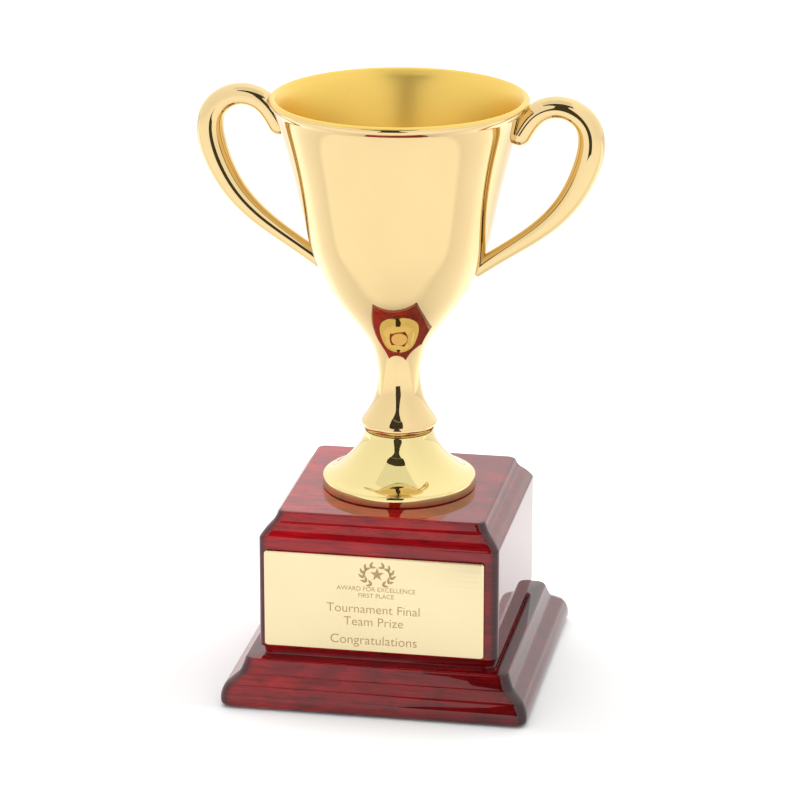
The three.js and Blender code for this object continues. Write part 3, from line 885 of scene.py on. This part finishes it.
# Outlines of the panels: (elevation in degrees, left edge, right edge), the edges in metres aside.
OPENING_LOW = [
    (-7, -0.20, 0.05), (4, -0.19, 0.085), (12, -0.17, 0.045), (20, -0.155, 0.018), (35, -0.135, -0.005),
    (41, -0.16, 0.008), (46.5, -0.21, 0.05),
]
OPENING_HIGH = [(47.3, -0.23, 0.09), (53, -0.285, 0.12), (58, -0.285, 0.12)]
OPENING_GAP = [OPENING_LOW[-1], OPENING_HIGH[0]]
SEAM = [(58.4, -0.285, 0.12), (75, -0.30, 0.17), (89, -0.28, 0.19)]

OPENING_DARK = (0.022, 0.018, 0.012)
OPENING_LIGHT = (0.034, 0.028, 0.018)
GAP_DARK = (0.17, 0.17, 0.12)
GAP_LIGHT = (0.21, 0.21, 0.15)
SEAM_DARK = (0.80, 0.83, 0.80)
SEAM_LIGHT = (0.82, 0.85, 0.82)


def add_panel(name, outline, material):
    """A strip of the tent on a sphere about the trophy, which only reflections see."""
    points = []
    for elevation, left, right in outline:
        middle = heading(CAMERA_AZIMUTH, elevation) * PANEL_DISTANCE + PANEL_CENTRE
        points += [middle + LENS_RIGHT * left, middle + LENS_RIGHT * right]
    faces = [(2 * i, 2 * i + 1, 2 * i + 3, 2 * i + 2) for i in range(len(outline) - 1)]
    panel = stage_object(name, points, faces, material)
    panel.visible_camera = False
    panel.visible_shadow = False
    panel.visible_diffuse = False


def tent_cloth(name, dark, light):
    """Matt cloth, faintly uneven in tone."""
    finish = Finish(name, Roughness=0.8)
    finish.drive(Base_Color=finish.ramp(finish.noise(scale=8), (0.3, dark), (0.7, light)))
    return finish.material


def add_opening():
    """The dark opening of the white tent, where the lens looks in. An olive gap crosses it, and a grey seam
    runs on above it."""
    black = tent_cloth("opening_black", OPENING_DARK, OPENING_LIGHT)
    grey = tent_cloth("seam_grey", SEAM_DARK, SEAM_LIGHT)
    olive = tent_cloth("gap_olive", GAP_DARK, GAP_LIGHT)
    add_panel("opening_low", OPENING_LOW, black)
    add_panel("opening_gap", OPENING_GAP, olive)
    add_panel("opening_high", OPENING_HIGH, black)
    add_panel("seam", SEAM, grey)


# The strength of the tent's light at its front and at its back.
TENT_FRONT = 1.24
TENT_BACK = 1.45
# The tent's evenness from left to right: (place across from 0 to 1, share of its light).
TENT_ACROSS = [(0.0, 0.87), (0.4, 0.94), (0.70, 0.98), (0.9, 0.89), (1.0, 0.87)]


def add_tent():
    """White light from all round, stronger from behind and a little right of the lens."""
    world = bpy.data.worlds.new("tent")
    bpy.context.scene.world = world
    world.use_nodes = True
    tree = world.node_tree
    background = tree.nodes["Background"]
    place = tree.nodes.new("ShaderNodeTexCoord")
    parts = tree.nodes.new("ShaderNodeSeparateXYZ")
    tree.links.new(place.outputs["Generated"], parts.inputs["Vector"])
    across = tree.nodes.new("ShaderNodeMapRange")
    set_range(across, -1, 1, 0, 1)
    strength = tree.nodes.new("ShaderNodeMapRange")
    set_range(strength, -1, 1, TENT_FRONT, TENT_BACK)
    tone = tree.nodes.new("ShaderNodeValToRGB")
    fill_ramp(tone, greys(TENT_ACROSS))
    tree.links.new(parts.outputs["X"], across.inputs["Value"])
    tree.links.new(across.outputs["Result"], tone.inputs["Fac"])
    tree.links.new(tone.outputs["Color"], background.inputs["Color"])
    tree.links.new(parts.outputs["Y"], strength.inputs["Value"])
    tree.links.new(strength.outputs["Result"], background.inputs["Strength"])


KEY_SIDE = 1.4
KEY_POWER = 10.0
KEY_PLACE = Vector((-0.15, 0.4, 1.5))
KEY_TARGET = Vector((0, 0, 0.05))


def add_key():
    """A large soft light overhead, which isn't seen in the polish."""
    light = bpy.data.lights.new("key", "AREA")
    light.shape = "RECTANGLE"
    light.size = KEY_SIDE
    light.size_y = KEY_SIDE
    light.energy = KEY_POWER
    key = bpy.data.objects.new("key", light)
    key.location = KEY_PLACE
    key.rotation_euler = (KEY_TARGET - KEY_PLACE).to_track_quat("-Z", "Y").to_euler()
    key.visible_glossy = False
    bpy.context.scene.collection.objects.link(key)


# ---------- assembly ----------

cup_shell()
handle("handle_right_bar", "handle_right", 1)
handle("handle_left_bar", "handle_left", -1)
foot_bell()
block()
plinth()
felt()
plate()
emblem()
for number, line in enumerate(WORDING, 1):
    plate_line(f"plate_line_{number}", *line)

FASTENERS = ["centre_rod", "foot_washer", "foot_nut", "base_washer", "base_nut"]
FASTENERS += [f"base_screw_{number}" for number in range(1, 5)]
for name in [*FASTENERS, "plate_tape"]:
    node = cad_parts[name]
    node.data.materials.clear()
    node.data.materials.append(TAPE if name == "plate_tape" else ZINC)

add_camera()
add_floor()
add_opening()
add_tent()
add_key()
bpy.context.scene.view_settings.view_transform = "Standard"
